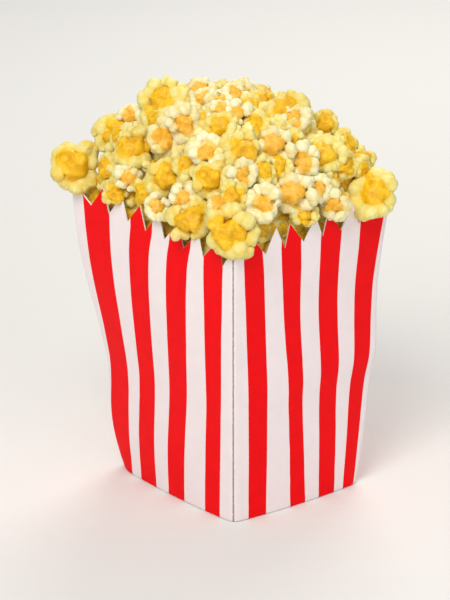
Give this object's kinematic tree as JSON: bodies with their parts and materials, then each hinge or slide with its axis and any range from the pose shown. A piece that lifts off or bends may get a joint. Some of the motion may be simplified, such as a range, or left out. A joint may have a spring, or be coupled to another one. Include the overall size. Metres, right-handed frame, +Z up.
{
  "type": "bucket of popcorn",
  "caption": "Flared square tub of striped paperboard with a zigzag rim, heaped above the rim with popped corn.",
  "frame": {"origin": "centre of the tub's flat underside", "axes": "+Z up through the heap; the tub's faces look along X and Y, and the corner shown at the front is at +X, -Y"},
  "size_m": [0.1661, 0.1453, 0.2412],
  "materials": {
    "printed_board": "satin printed paperboard, red and white stripes",
    "popped_corn": "matte popped corn, cream with golden centres"
  },
  "bodies": {
    "root": {"bucket": "printed_board", "popcorn": "popped_corn"}
  },
  "joints": []
}
